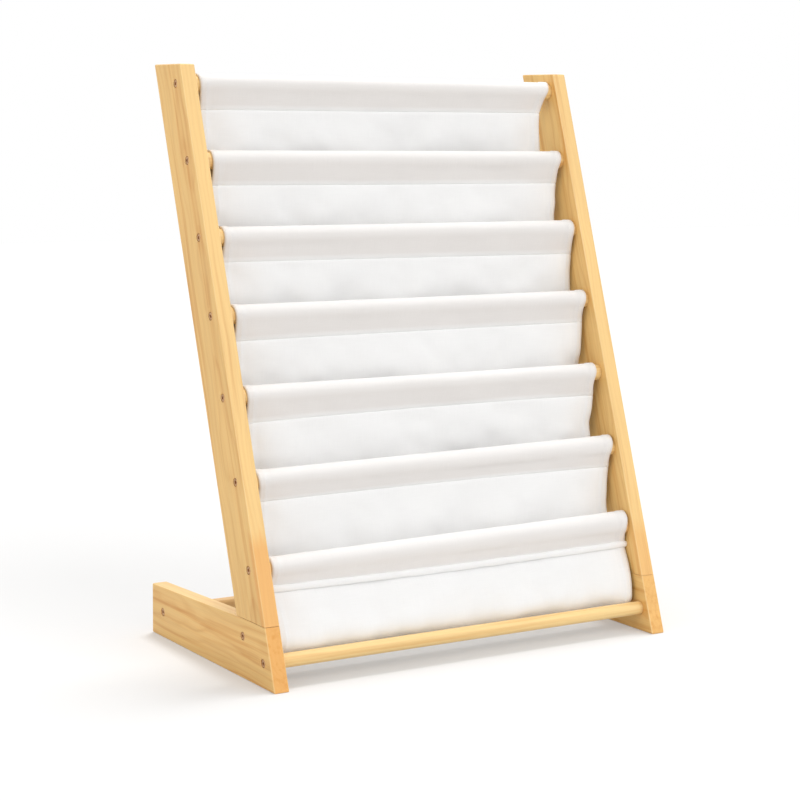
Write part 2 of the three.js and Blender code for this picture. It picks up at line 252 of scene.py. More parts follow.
def fill(tree, sockets, values):
    """Gives each socket its plain value, or a link from another node."""
    for name, value in values.items():
        if isinstance(value, bpy.types.NodeSocket):
            tree.links.new(value, sockets[name])
        else:
            sockets[name].default_value = value


def node(tree, kind, inputs=None, **settings):
    made = tree.nodes.new("ShaderNode" + kind)
    for name, value in settings.items():
        setattr(made, name, value)
    fill(tree, made.inputs, inputs or {})
    return made


def maths(tree, operation, *values, clamp=False):
    made = node(tree, "Math", dict(enumerate(values)), operation=operation, use_clamp=clamp)
    return made.outputs[0]


def times(tree, first, second, clamp=False):
    return maths(tree, "MULTIPLY", first, second, clamp=clamp)


def vector_maths(tree, operation, *values, output="Vector"):
    made = node(tree, "VectorMath", dict(enumerate(values)), operation=operation)
    return made.outputs[output]


def scaled(tree, vector, factor):
    made = node(tree, "VectorMath", {"Vector": vector, "Scale": factor}, operation="SCALE")
    return made.outputs["Vector"]


def noise_at(tree, place, scale, detail=2.0, roughness=0.5, output="Fac"):
    """Noise that varies this many times a metre along each axis."""
    stretched = vector_maths(tree, "MULTIPLY", place, scale)
    inputs = {"Vector": stretched, "Scale": 1.0, "Detail": detail, "Roughness": roughness}
    return node(tree, "TexNoise", inputs).outputs[output]


def remap(tree, value, low, high, to_low=0.0, to_high=1.0, smooth=False):
    ranges = {"Value": value, "From Min": low, "From Max": high, "To Min": to_low, "To Max": to_high}
    kind = "SMOOTHSTEP" if smooth else "LINEAR"
    return node(tree, "MapRange", ranges, interpolation_type=kind).outputs["Result"]


def mixed(tree, share, first, second, blend="MIX"):
    made = node(tree, "Mix", {0: share, 6: first, 7: second}, data_type="RGBA", blend_type=blend)
    return made.outputs[2]


def new_group(name, inputs, outputs):
    """A shader node group with inputs of these kinds and number outputs, and the sockets inside it."""
    group = bpy.data.node_groups.new(name, "ShaderNodeTree")
    for socket, kind in inputs.items():
        group.interface.new_socket(socket, in_out="INPUT", socket_type="NodeSocket" + kind)
    for socket in outputs:
        group.interface.new_socket(socket, in_out="OUTPUT", socket_type="NodeSocketFloat")
    return group, group.nodes.new("NodeGroupInput").outputs, group.nodes.new("NodeGroupOutput").inputs


def placed(tree, group, inputs):
    return node(tree, "Group", inputs, node_tree=group).outputs


def new_material(name, **shader):
    """A material with one Principled shader, whose plain values are given by input name."""
    material = bpy.data.materials.new(name)
    material.use_nodes = True
    tree = material.node_tree
    principled = tree.nodes["Principled BSDF"]
    fill(tree, principled.inputs, {key.replace("_", " "): value for key, value in shader.items()})
    return material, tree, principled


def bumped(tree, principled, height, strength, distance):
    bump = node(tree, "Bump", {"Height": height, "Strength": strength, "Distance": distance})
    tree.links.new(bump.outputs["Normal"], principled.inputs["Normal"])


# Pine

def pine_grain_group():
    """Growth rings round a pith, with Z along the grain. Start picks a stretch of the tree."""
    group, given, out = new_group(
        "pine_grain",
        {"Place": "Vector", "Start": "Float", "Pith": "Vector", "Ring Width": "Float", "Wander": "Float"},
        ("Latewood", "Fibre", "Tone", "Streak"),
    )
    along = node(group, "CombineXYZ", {"Z": given["Start"]}).outputs["Vector"]
    place = vector_maths(group, "ADD", given["Place"], along)
    drift = noise_at(group, place, (13, 13, 5.5), roughness=0.45, output="Color")
    drift = vector_maths(group, "SUBTRACT", drift, (0.5, 0.5, 0.5))
    drift = scaled(group, vector_maths(group, "MULTIPLY", drift, (1, 1, 0)), given["Wander"])
    off_pith = vector_maths(group, "SUBTRACT", vector_maths(group, "ADD", place, drift), given["Pith"])
    off_pith = vector_maths(group, "MULTIPLY", off_pith, (1, 1, 0))
    distance = vector_maths(group, "LENGTH", off_pith, output="Value")
    rings = maths(group, "DIVIDE", distance, given["Ring Width"])
    waver = noise_at(group, place, (70, 70, 16))
    rings = maths(group, "MULTIPLY_ADD", waver, 0.5, rings)
    year = maths(group, "FLOOR", rings)
    season = maths(group, "FRACT", rings)
    vigour = node(group, "TexWhiteNoise", {"W": year}, noise_dimensions="1D").outputs["Value"]
    ramp = node(group, "ValToRGB", {"Fac": season})
    ramp.color_ramp.interpolation = "EASE"
    stops = ramp.color_ramp.elements
    stops[0].position, stops[0].color = 0.0, (0.75, 0.75, 0.75, 1)
    stops[1].position, stops[1].color = 0.2, (0.1, 0.1, 0.1, 1)
    for position, grey in ((0.42, 0.0), (0.7, 0.4), (0.9, 1.0)):
        stops.new(position).color = (grey, grey, grey, 1)
    late = times(group, ramp.outputs["Color"], maths(group, "MULTIPLY_ADD", vigour, 0.75, 0.25))
    patchy = noise_at(group, place, (26, 26, 5), detail=1.0)
    late = times(group, late, remap(group, patchy, 0.3, 0.68, 0.25, 1.0), clamp=True)
    bent = vector_maths(group, "ADD", place, scaled(group, drift, 0.35))
    fill(group, out, {
        "Latewood": late, "Fibre": noise_at(group, place, (900, 900, 14), detail=3.0, roughness=0.6),
        "Tone": noise_at(group, place, (24, 24, 3.5)),
        "Streak": noise_at(group, bent, (120, 120, 2.6), detail=3.0, roughness=0.6),
    })
    return group


def cut_group():
    """Where a board is cut across the grain, its broad faces, and where its edges are eased."""
    group, given, out = new_group("cut_faces", {"Normal": "Vector", "Grain": "Vector", "Broad": "Vector"},
                                  ("Across", "Broad Face", "Eased"))

    def facing(name):
        product = vector_maths(group, "DOT_PRODUCT", given["Normal"], given[name], output="Value")
        return maths(group, "ABSOLUTE", product)

    broad = facing("Broad")
    eased = times(group, remap(group, broad, 0.1, 0.4, smooth=True),
                  remap(group, broad, 0.75, 0.97, 1.0, 0.0, smooth=True))
    fill(group, out, {"Across": remap(group, facing("Grain"), 0.5, 0.9, smooth=True),
                      "Broad Face": remap(group, broad, 0.3, 0.8, smooth=True), "Eased": eased})
    return group


PINE_GRAIN = pine_grain_group()
CUT_FACES = cut_group()
PINE_EARLY = srgb(242, 200, 128)
PINE_LATE = srgb(214, 150, 70)
PINE_END = srgb(230, 154, 70)
# Pale colour for painted sheen on narrow faces, and for eased edges that are partly worn and partly painted
# highlight
PINE_SHEEN_AND_WEAR = srgb(252, 224, 170)
rail_colours = (srgb(244, 209, 143), srgb(220, 162, 86))
# Painted shade: the rear rail's pine is darker, for the shade it lies in at the back of the feet.
rear_rail_painted_shade_colours = (srgb(222, 176, 114), srgb(196, 140, 78))
beech_colours = (srgb(226, 186, 134), srgb(206, 160, 106))

# The rings' strength on ends and narrow faces, the streaks' strength, how much paler painted sheen makes
# the narrow faces, and how deep in the front the lower part is darker and the height over which that fades
END_RINGS = 0.7
NARROW_RINGS = 0.55
STREAK_TONE = 0.55
NARROW_PAINTED_SHEEN = 0.18
LOW_DARK_INNER, LOW_DARK_OUTER = -24 * MM, -31 * MM
LOW_DARK_FADE = 30 * MM


def pine(name, turn, centre, start, pith, ring_width, wander, depth, end_tone=0.15, darker_below=-1.0,
         lower_front_darkening=0.5, colours=(PINE_EARLY, PINE_LATE)):
    """Lacquered pine, its grain turned by turn, with rings of strength depth round a pith beside centre.
    Its front is darker towards the bottom, up to the height it is given. Painted sheen makes its narrow
    faces paler, and its eased edges are paler, partly worn and partly a painted highlight."""
    lacquer = {"Coat_Weight": 0.1, "Coat_Roughness": 0.25, "IOR": 1.48, "Specular_IOR_Level": 0.3}
    material, tree, principled = new_material(name, **lacquer)
    coordinates = node(tree, "TexCoord").outputs
    mapped = {"Vector": coordinates["Object"], "Location": centre, "Rotation": turn}
    in_tree = node(tree, "Mapping", mapped, vector_type="TEXTURE").outputs["Vector"]
    grown = {"Place": in_tree, "Start": start, "Pith": pith, "Ring Width": ring_width, "Wander": wander}
    grain = placed(tree, PINE_GRAIN, grown)
    along = Matrix.Rotation(turn[1], 3, "Y") @ Matrix.Rotation(turn[0], 3, "X") @ Vector((0, 0, 1))
    cut = placed(tree, CUT_FACES, {"Normal": coordinates["Normal"], "Grain": along, "Broad": (1, 0, 0)})
    depths = times(tree, remap(tree, cut["Across"], 0.0, 1.0, depth, END_RINGS * depth),
                   remap(tree, cut["Broad Face"], 0.0, 1.0, NARROW_RINGS, 1.0))
    banded = times(tree, grain["Latewood"], depths)
    streaked = times(tree, remap(tree, grain["Streak"], 0.46, 0.72, smooth=True), STREAK_TONE)
    colour = mixed(tree, maths(tree, "ADD", banded, streaked, clamp=True), *colours)
    tone = remap(tree, grain["Tone"], 0.3, 0.7, 0.94, 1.04)
    streak = remap(tree, grain["Fibre"], 0.3, 0.7, 0.955, 1.035)
    colour = mixed(tree, 1.0, colour, times(tree, tone, streak), blend="MULTIPLY")
    colour = mixed(tree, times(tree, cut["Across"], end_tone), colour, PINE_END)
    # Painted sheen: narrow faces along the grain are paler.
    narrow = times(tree, maths(tree, "SUBTRACT", 1.0, cut["Broad Face"]), NARROW_PAINTED_SHEEN)
    narrow = times(tree, narrow, maths(tree, "SUBTRACT", 1.0, cut["Across"]))
    colour = mixed(tree, narrow, colour, PINE_SHEEN_AND_WEAR)
    # Darker towards the bottom of the front.
    place = node(tree, "SeparateXYZ", {"Vector": in_tree}).outputs
    up = maths(tree, "MULTIPLY_ADD", grain["Streak"], 0.06, place["Z"])
    lower_darkening = remap(tree, up, darker_below, darker_below + LOW_DARK_FADE, lower_front_darkening, 0.0, smooth=True)
    at_front = remap(tree, place["Y"], LOW_DARK_OUTER, LOW_DARK_INNER, 1.0, 0.0, smooth=True)
    colour = mixed(tree, times(tree, lower_darkening, at_front), colour, PINE_END)
    # Painted highlight, partly worn: eased edges are paler, unevenly along the grain.
    edge_highlight_and_wear = times(tree, cut["Eased"], remap(tree, grain["Tone"], 0.25, 0.7, 0.2, 0.6))
    colour = mixed(tree, edge_highlight_and_wear, colour, PINE_SHEEN_AND_WEAR)
    rough = maths(tree, "MULTIPLY_ADD", grain["Fibre"], 0.18, 0.36)
    rough = maths(tree, "MULTIPLY_ADD", grain["Latewood"], -0.07, rough)
    rough = maths(tree, "MULTIPLY_ADD", cut["Across"], 0.12, rough)
    fill(tree, principled.inputs, {"Base Color": colour, "Roughness": rough})
    height = maths(tree, "MULTIPLY_ADD", grain["Latewood"], 0.5, grain["Fibre"])
    bumped(tree, principled, height, 0.2, 0.12 * MM)
    return material


# Side boards

def turned(profile, centre, axis, sides):
    """A solid turned about an axis through centre. The profile lists places along the axis and radii."""
    bm = bmesh.new()
    points = [(profile[0][0], 0), *profile, (profile[-1][0], 0)]
    line = [bm.verts.new((0, radius, along)) for along, radius in points]
    edges = [bm.edges.new(pair) for pair in zip(line, line[1:])]
    bmesh.ops.spin(bm, geom=line + edges, cent=(0, 0, 0), axis=(0, 0, 1), angle=tau, steps=sides,
                   use_merge=True)
    bmesh.ops.remove_doubles(bm, verts=bm.verts, dist=NEARLY_NOTHING)
    face_outwards(bm)
    if axis == "X":
        bmesh.ops.rotate(bm, verts=bm.verts, cent=(0, 0, 0), matrix=Matrix.Rotation(pi / 2, 3, "Y"))
        bmesh.ops.translate(bm, verts=bm.verts, vec=(0, centre.y, centre.z))
    else:
        bmesh.ops.translate(bm, verts=bm.verts, vec=(centre.x, centre.y, 0))
    return bm


def rail_hole(rail, side, inner, outer):
    """The space of one rail's socket, its screw's hole and its counterbore."""
    socket = radius_of(rail) + SOCKET_PLAY
    shoulder, seat = inner + side * SOCKET_DEPTH, outer - side * COUNTERBORE_DEPTH
    profile = [(inner - side * OVERRUN, socket), (shoulder, socket), (shoulder, SCREW_HOLE_RADIUS),
               (seat, SCREW_HOLE_RADIUS), (seat, COUNTERBORE_RADIUS),
               (outer - side * RIM_EASE, COUNTERBORE_RADIUS),
               (outer + side * OVERRUN, COUNTERBORE_RADIUS + RIM_EASE + OVERRUN)]
    return turned(profile, middle_of(rail), "X", HOLE_SIDES)


def cut_out(blank, cutters):
    """The blank without the cutters' space."""
    body = linked("board_blank", mesh_of("board_blank", blank))
    tools = [linked("board_tool", mesh_of("board_tool", cutter)) for cutter in cutters]
    for tool in tools:
        cut = body.modifiers.new("cut", "BOOLEAN")
        cut.object = tool
        cut.operation = "DIFFERENCE"
        cut.solver = "EXACT"
    bpy.context.view_layer.update()
    finished = bmesh.new()
    finished.from_object(body, bpy.context.evaluated_depsgraph_get())
    for used in (body, *tools):
        bpy.data.objects.remove(used)
    return finished


def eased_board(outline, low_x, high_x, joint, joint_ease):
    """A board with this outline in (y, z), its edges rounded over and barely eased along the joint."""
    bm = bmesh.new()
    face = bm.faces.new([bm.verts.new((low_x, y, z)) for y, z in outline])
    grown = bmesh.ops.extrude_face_region(bm, geom=[face])["geom"]
    grown = [part for part in grown if isinstance(part, bmesh.types.BMVert)]
    bmesh.ops.translate(bm, verts=grown, vec=(high_x - low_x, 0, 0))
    face_outwards(bm)

    def at_joint(edge):
        return all(abs(vert.co.z - joint) < SAME_PLACE for vert in edge.verts)

    def ease(edges, offset, segments):
        bmesh.ops.bevel(bm, geom=edges, offset=offset, affect="EDGES", segments=segments, profile=0.5,
                        material=-1, clamp_overlap=True)

    ease([edge for edge in bm.edges if not at_joint(edge)], BOARD_EASE, EASE_STEPS)
    ease([edge for edge in bm.edges if at_joint(edge) and edge.is_manifold
          and abs(edge.verts[0].co.x - edge.verts[1].co.x) < SAME_PLACE], joint_ease, 1)
    return bm


def side_frame(side_name, finishes):
    """One side's upright and foot, with their holes."""
    side = SIDES[side_name]
    upright, foot = f"upright_{side_name}", f"foot_{side_name}"
    low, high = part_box(upright)
    foot_low, foot_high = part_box(foot)
    inner, outer = (low.x, high.x) if side > 0 else (high.x, low.x)

    def cut_level(z):
        front = foot_low.y + z * tan(LEAN)
        return [(front, z), (front + UPRIGHT_REACH, z)]

    above, below = low.z + JOINT_GAPS[side_name], foot_high.z - JOINT_GAPS[side_name]
    upright_outline = cut_level(above) + cut_level(high.z)[::-1]
    foot_outline = [(foot_low.y, 0), (foot_high.y, 0), (foot_high.y, FOOT_BACK_HEIGHT),
                    *cut_level(below)[::-1]]
    for name, outline, joint, rails in ((upright, upright_outline, above, sling_rails),
                                        (foot, foot_outline, below, foot_rails)):
        blank = eased_board(outline, low.x, high.x, joint, JOINT_EASES[side_name])
        cutters = [rail_hole(rail, side, inner, outer) for rail in rails]
        if name == foot:
            profile = [(-OVERRUN, COUNTERBORE_RADIUS), (JOINT_COUNTERBORE_DEPTH, COUNTERBORE_RADIUS),
                       (JOINT_COUNTERBORE_DEPTH, SCREW_HOLE_RADIUS),
                       (foot_high.z + OVERRUN, SCREW_HOLE_RADIUS)]
            cutters.append(turned(profile, middle_of(f"joint_screw_{side_name}"), "Z", HOLE_SIDES))
        made = piece(name + "_board", cut_out(blank, cutters), finishes[name], [name])
        weighted = made.modifiers.new("flat_faces", "WEIGHTED_NORMAL")
        weighted.keep_sharp = True


def board_finishes():
    """Each board's own pine: where it stood in the tree, and which way its grain runs."""
    low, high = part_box("foot_left")
    kinds = {
        "upright": ((-LEAN, 0, 0), low.y + UPRIGHT_REACH / 2, 0, 5.2 * MM, 0.5),
        "foot": ((-pi / 2, 0, 0), 0, (high.z + FOOT_BACK_HEIGHT) / 4, 5.6 * MM, 0.7),
    }
    boards = {
        "upright_left": (0.35, (0.046, -0.012, 0), 26 * MM, {"darker_below": 0.19}),
        "upright_right": (2.55, (0.048, 0.01, 0), 26 * MM, {"darker_below": 0.15, "lower_front_darkening": 0.3}),
        "foot_left": (5.2, (0.046, -0.016, 0), 24 * MM, {"end_tone": 0.55}),
        "foot_right": (7.4, (0.05, 0.012, 0), 22 * MM, {"end_tone": 0.3}),
    }
    made = {}
    for name, (start, pith, wander, tones) in boards.items():
        kind, side_name = name.split("_")
        turn, y, z, ring_width, depth = kinds[kind]
        centre = (middle_of(f"foot_{side_name}").x, y, z)
        made[name] = pine("pine_" + name, turn, centre, start, pith, ring_width, wander, depth, **tones)
    return made


finishes = board_finishes()
for side_name in SIDES:
    side_frame(side_name, finishes)


# Rails and pins

RAIL_TO_PITH = 19 * MM
RAIL_TURN = 2.4


def round_bar(name, axis, finish, ease, sides=RAIL_SIDES):
    """A round bar in the place of the solid with this name, with eased ends."""
    low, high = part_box(name)
    along, across = ("XYZ".index(axis), "XYZ".index("Z" if axis == "X" else "X"))
    radius = (high - low)[across] / 2
    start, end = low[along], high[along]
    profile = [(start, radius - ease), (start + ease, radius), (end - ease, radius), (end, radius - ease)]
    return piece(name + "_bar", turned(profile, middle_of(name), axis, sides), finish, [name])


def rail_finish(rail, number):
    """A rail's own pine. Each rail's pith lies beside it, on a side of its own."""
    around = RAIL_TURN * number
    pith = (RAIL_TO_PITH * cos(around), RAIL_TO_PITH * sin(around), 0)
    # The rear rail gets darker colours, painted shade for its place at the back.
    return pine("pine_" + rail, (0, pi / 2, 0), tuple(middle_of(rail)), 11 + 0.83 * number, pith,
                ring_width=4.6 * MM, wander=8 * MM, depth=0.9,
                colours=rear_rail_painted_shade_colours if rail == "rear_rail" else rail_colours)


for number, rail in enumerate(sling_rails + foot_rails):
    round_bar(rail, "X", rail_finish(rail, number), RAIL_END_EASE)

beech = pine("beech", (0, 0, 0), (0, 0, 0), 30, (0.03, 0.02, 0), ring_width=2.5 * MM, wander=5 * MM,
             depth=0.5, colours=beech_colours)
for side_name in SIDES:
    for place in ("front", "back"):
        round_bar(f"joint_pin_{side_name}_{place}", "Z", beech, PIN_END_EASE, PIN_SIDES)


# Screws

def bronzed_steel():
    material, tree, principled = new_material("bronzed_steel", Metallic=0.6)
    coordinates = node(tree, "TexCoord").outputs["Object"]
    cloud = noise_at(tree, coordinates, (420, 420, 420), detail=3.0)
    colour = mixed(tree, remap(tree, cloud, 0.35, 0.7), srgb(212, 170, 124), srgb(150, 104, 66))
    rough = remap(tree, cloud, 0.3, 0.7, 0.26, 0.44)
    fill(tree, principled.inputs, {"Base Color": colour, "Roughness": rough})
    scratches = noise_at(tree, coordinates, (3000, 900, 900))
    bumped(tree, principled, scratches, 0.15, 0.03 * MM)
    return material


def grown_ring(bm, ring, place):
    """Extrudes a ring of edges and moves each new corner to place(corner)."""
    grown = bmesh.ops.extrude_edge_only(bm, edges=ring)["geom"]
    for part in grown:
        if isinstance(part, bmesh.types.BMVert):
            part.co = place(part.co)
    return [part for part in grown if isinstance(part, bmesh.types.BMEdge)]


def screw(name, axis, direction, finish):
    """A hex-socket screw in the place of the solid with this name, whose head lies towards direction."""
    low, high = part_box(name)
    along = "XYZ".index(axis)
    top, tip = (high[along], low[along]) if direction > 0 else (low[along], high[along])
    length = abs(top - tip)
    bm = bmesh.new()
    bmesh.ops.create_circle(bm, segments=HEX_CORNERS, radius=HEX_RADIUS)
    bmesh.ops.subdivide_edges(bm, edges=bm.edges[:], cuts=SCREW_SIDES // HEX_CORNERS - 1)
    mouth = bm.edges[:]
    bottom = grown_ring(bm, mouth, lambda corner: corner - Vector((0, 0, HEX_DEPTH)))
    bmesh.ops.contextual_create(bm, geom=bottom)
    rim = bmesh.ops.create_circle(bm, segments=SCREW_SIDES, radius=HEAD_RADIUS - HEAD_EASE)["verts"]
    ring = list({edge for vert in rim for edge in vert.link_edges})
    bmesh.ops.bridge_loops(bm, edges=mouth + ring)
    for radius, height in ((HEAD_RADIUS - 0.2 * HEAD_EASE, -0.3 * HEAD_EASE), (HEAD_RADIUS, -HEAD_EASE),
                           (HEAD_RADIUS, -HEAD_HEIGHT), (SCREW_RADIUS, -HEAD_HEIGHT),
                           (SCREW_RADIUS, TIP_LENGTH - length), (TIP_RADIUS, -length)):
        ring = grown_ring(bm, ring, lambda corner: Vector((*corner.xy.normalized() * radius, height)))
    bmesh.ops.contextual_create(bm, geom=ring)
    face_outwards(bm)
    if axis == "X":
        turn = Matrix.Rotation(direction * pi / 2, 3, "Y")
    else:
        turn = Matrix.Rotation(pi, 3, "X")
    place = middle_of(name)
    tightened = Matrix.Rotation(0.4 + 61 * place.z, 3, "Z")
    bmesh.ops.rotate(bm, verts=bm.verts, cent=(0, 0, 0), matrix=turn @ tightened)
    place[along] = top
    bmesh.ops.translate(bm, verts=bm.verts, vec=place)
    return piece(name + "_part", bm, finish, [name])


steel = bronzed_steel()
for side_name, side in SIDES.items():
    for rail in sling_rails + foot_rails:
        screw(f"{rail}_screw_{side_name}", "X", side, steel)
    screw(f"joint_screw_{side_name}", "Z", -1, steel)


# Canvas: the strip's line, seen from the side

def seam_point(tier):
    rail = middle_of(sling_rails[tier])
    return Vector((rail.y - SEAM_FORWARD, rail.z - SEAM_DROP * seam_shares[tier]))


def sleeve_side(centre, radius, end, side, count):
    """From the rail to the seam: the cloth hugs the rail a little past the tangent, and then hangs."""
    away = end - centre
    angle = atan2(away.y, away.x) + side * (acos(radius / away.length) - SLEEVE_HUG)
    start = centre + radius * Vector((cos(angle), sin(angle)))
    downward = Vector((sin(angle), -cos(angle))) * side
    bend = start + 0.45 * (end - start).length * downward
    shares = [step / count for step in range(1, count + 1)]
    return angle, [(1 - t) ** 2 * start + 2 * t * (1 - t) * bend + t * t * end for t in shares]


def sleeve_line(tier):
    """From the seam behind the rail, over the rail and down to the seam in front of it."""
    rail = middle_of(sling_rails[tier])
    centre = Vector((rail.y, rail.z))
    radius = radius_of(sling_rails[tier]) + CLOTH_PLAY + CLOTH / 2
    seam, offset = seam_point(tier), Vector((LAYER_OFFSET, 0))
    back_angle, back = sleeve_side(centre, radius, seam + offset, 1, RISE_ROWS)
    front_angle, front = sleeve_side(centre, radius, seam - offset, -1, FALL_ROWS)
    arc = [centre + radius * Vector((cos(angle), sin(angle)))
           for angle in np.linspace(back_angle, front_angle + tau, ARC_ROWS + 1)]
    return back[::-1] + arc + front


pocket_back_shares = [(1, 1), (0.95, 0.55), (0.9, 0.12)]
pocket_foot_shares = [(0.85, 0.5), (0.74, 0.86), (0.46, 1), (0.17, 0.85), (0.03, 0.45)]
hip_shares = [(1, 1), (0.93, 0.66), (0.82, 0.25)]
rest_shares = [(0.32, 0.42), (0.64, 0.69), (1, 1)]
toe_share = (0.45, 0.5)
bulge_shares = [(0.4, 1), (0.86, 0.88), (1, 0.7), (0.64, 0.36), (0.16, 0.1)]


def between(start, end, share):
    return Vector((start.x + (end.x - start.x) * share[0], start.y + (end.y - start.y) * share[1]))


def pocket_points(tier):
    """The corners of a pocket's line, from the seam above down round its foot and up to the seam below."""
    start = seam_point(tier) - Vector((LAYER_OFFSET, 0))
    end = seam_point(tier + 1) + Vector((LAYER_OFFSET, 0))
    if tier < len(sling_rails) - 2:
        deepest = Vector((start.x, end.y - POCKET_DEPTH))
        return ([between(end, start, share) for share in pocket_back_shares]
                + [between(end, deepest, share) for share in pocket_foot_shares] + [end])
    lower, front = middle_of("lower_rail"), middle_of("front_rail")
    hips = [between(end, start, share) for share in hip_shares]
    rest = Vector((lower.y - radius_of("lower_rail") - LOW_POCKET_REST, lower.z))
    toe = Vector((end.x - LOW_POCKET_BULGE, front.z - LOW_POCKET_BELOW_RAIL))
    bulge = [between(end, toe, share) for share in bulge_shares]
    return (hips + [between(hips[-1], rest, share) for share in rest_shares]
            + [between(rest, bulge[0], toe_share)] + bulge + [end])


def resampled(grid, places):
    """Rows of the grid at fractional places, on smooth curves through its rows."""
    last = len(grid) - 1
    whole = np.clip(np.floor(places).astype(int), 0, last - 1)
    part = (places - whole).reshape(-1, *[1] * (grid.ndim - 1))
    at = whole.reshape(part.shape)
    second, third = grid[whole], grid[whole + 1]
    first = np.where(at > 0, grid[np.maximum(whole - 1, 0)], 2 * second - third)
    fourth = np.where(at < last - 1, grid[np.minimum(whole + 2, last)], 2 * third - second)
    return 0.5 * (2 * second + (third - first) * part
                  + (2 * first - 5 * second + 4 * third - fourth) * part ** 2
                  + (3 * second - first - 3 * third + fourth) * part ** 3)


def travel(points):
    """How far along a line of points each one lies."""
    return np.concatenate([[0], np.cumsum(np.linalg.norm(np.diff(points, axis=0), axis=1))])


def evenly(points, count):
    """A smooth line through the points, as count + 1 points spaced evenly along it."""
    points = np.array(points)
    fine = resampled(points, np.linspace(0, len(points) - 1, 20 * len(points)))
    along = travel(fine)
    wanted = np.linspace(0, along[-1], count + 1)
    return [Vector((np.interp(at, along, fine[:, 0]), np.interp(at, along, fine[:, 1]))) for at in wanted]


# Canvas: the strip as a grid of points, with a row for each step along its line

def strip_rows():
    """Each row's point in (y, z), its tier, how far down its tier and round its pocket it lies, whether it
    is a seam, how much painted shade greys it, and how firmly it is held."""
    rows = []
    for tier in range(len(sling_rails)):
        sleeve = sleeve_line(tier)
        top = RISE_ROWS + ARC_ROWS / 2
        rail_z, seam_z = middle_of(sling_rails[tier]).z, seam_point(tier).y
        for step, point in enumerate(sleeve):
            drop = max(0.0, (rail_z - point.y) / (rail_z - seam_z))
            over = 1 - min(1.0, abs(step - top) / (ARC_ROWS / 2))
            on_rail = RISE_ROWS <= step <= RISE_ROWS + ARC_ROWS
            at_seam = step in (0, len(sleeve) - 1)
            # Painted shade: a sleeve greys at the rail's front and down to its seam, less over the rail's
            # top; seams and pockets get none.
            if at_seam:
                painted_shade, held = 0.0, HELD_AT_SEAM
            elif on_rail:
                painted_shade, held = 1 - (1 - SHADE_PAINTED_OVER_RAIL) * over, HELD_ON_RAIL
            else:
                painted_shade, held = SHADE_PAINTED_BESIDE_RAIL, HELD_ON_SLEEVE
            rows.append({"point": point, "tier": tier, "down": min(2.0, 1 - over + drop), "hang": 0.0,
                         "seam": at_seam, "on_rail": painted_shade, "held": held})
        if tier < len(sling_rails) - 1:
            pocket = evenly(pocket_points(tier), POCKET_ROWS)
            for step, point in enumerate(pocket[1:-1], start=1):
                hang = step / POCKET_ROWS
                rows.append({"point": point, "tier": tier, "down": 2 + hang, "hang": hang, "seam": False,
                             "on_rail": 0.0, "held": HELD_IN_POCKET})
    return rows


def bowed(across, ends):
    """A curve through values at the left end, the middle and the right end."""
    left, middle, right = ends
    return middle + (right - left) / 2 * across + ((left + right) / 2 - middle) * across ** 2


def edge_gap(gaps, row):
    """How far an edge stays from its side board at this row."""
    tier = row["tier"]
    places, values = gap_places[:len(gaps[tier])], list(gaps[tier])
    if tier < len(gaps) - 1:
        places, values = places + [3], values + [gaps[tier + 1][3]]
    return np.interp(row["down"], places, values) * MM


def strip_points(rows, columns):
    """The modelled strip: a row of points across it for each row's point."""
    across = np.linspace(-1, 1, columns)
    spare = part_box("upright_right")[0].x - STRIP_HALF
    grid = np.zeros((len(rows), columns, 3))
    for index, row in enumerate(rows):
        tier, hang = row["tier"], row["hang"]
        left = edge_gap(left_gaps, row) - spare
        right = edge_gap(right_gaps, row) - spare
        drawn = np.where(across > 0, -right, left) * np.abs(across) ** 3
        grid[index, :, 0] = across * STRIP_HALF + drawn
        below = min(tier + 1, len(sling_rails) - 1)
        on_sleeve = 1 - row["down"] / 2 if hang == 0 else 0
        by_seam = min(1.0, max(0.0, row["down"] - 1)) * (1 - hang) ** 4
        lift = (bowed(across, rail_lifts[tier]) * on_sleeve + bowed(across, seam_lifts[tier]) * by_seam
                + bowed(across, seam_lifts[below]) * hang ** 4)
        grid[index, :, 1] = row["point"].x
        grid[index, :, 2] = row["point"].y + lift * MM
    return grid


def strip_mesh(grid, widths, lengths):
    """The strip as a bmesh with its flat place in metres as its UV map, and each vertex's place in it."""
    bm = bmesh.new()
    row_count, column_count = grid.shape[:2]
    bmesh.ops.create_grid(bm, x_segments=column_count - 1, y_segments=row_count - 1, size=0.5)
    places = {}
    for index, vert in enumerate(bm.verts):
        place = (round((vert.co.y + 0.5) * (row_count - 1)), round((vert.co.x + 0.5) * (column_count - 1)))
        places[index] = place
        vert.co = grid[place]
    bm.verts.index_update()
    flat = bm.loops.layers.uv.new("flat")
    for face in bm.faces:
        for loop in face.loops:
            row, column = places[loop.vert.index]
            loop[flat].uv = (widths[column], lengths[row])
    return bm, places


def kept_clear(grid):
    """The strip with every point outside the rails, by the play that cloth keeps."""
    grid = grid.copy()
    for rail in sling_rails + foot_rails:
        centre = np.array(middle_of(rail).yz)
        reach = radius_of(rail) + CLOTH_PLAY + CLOTH / 2
        off = grid[:, :, 1:] - centre
        distance = np.linalg.norm(off, axis=2, keepdims=True)
        pushed = centre + off * (reach / np.maximum(distance, 1e-9))
        grid[:, :, 1:] = np.where(distance < reach, pushed, grid[:, :, 1:])
    return grid


# Canvas: how it settles when it is sewn and hung. Its panels have a little slack, its hems pull in.

def rumpled(place, frequency, seed):
    return noise.fractal(Vector((place[0] * frequency, place[1] * frequency, seed)), 0.6, 2.0, 3)


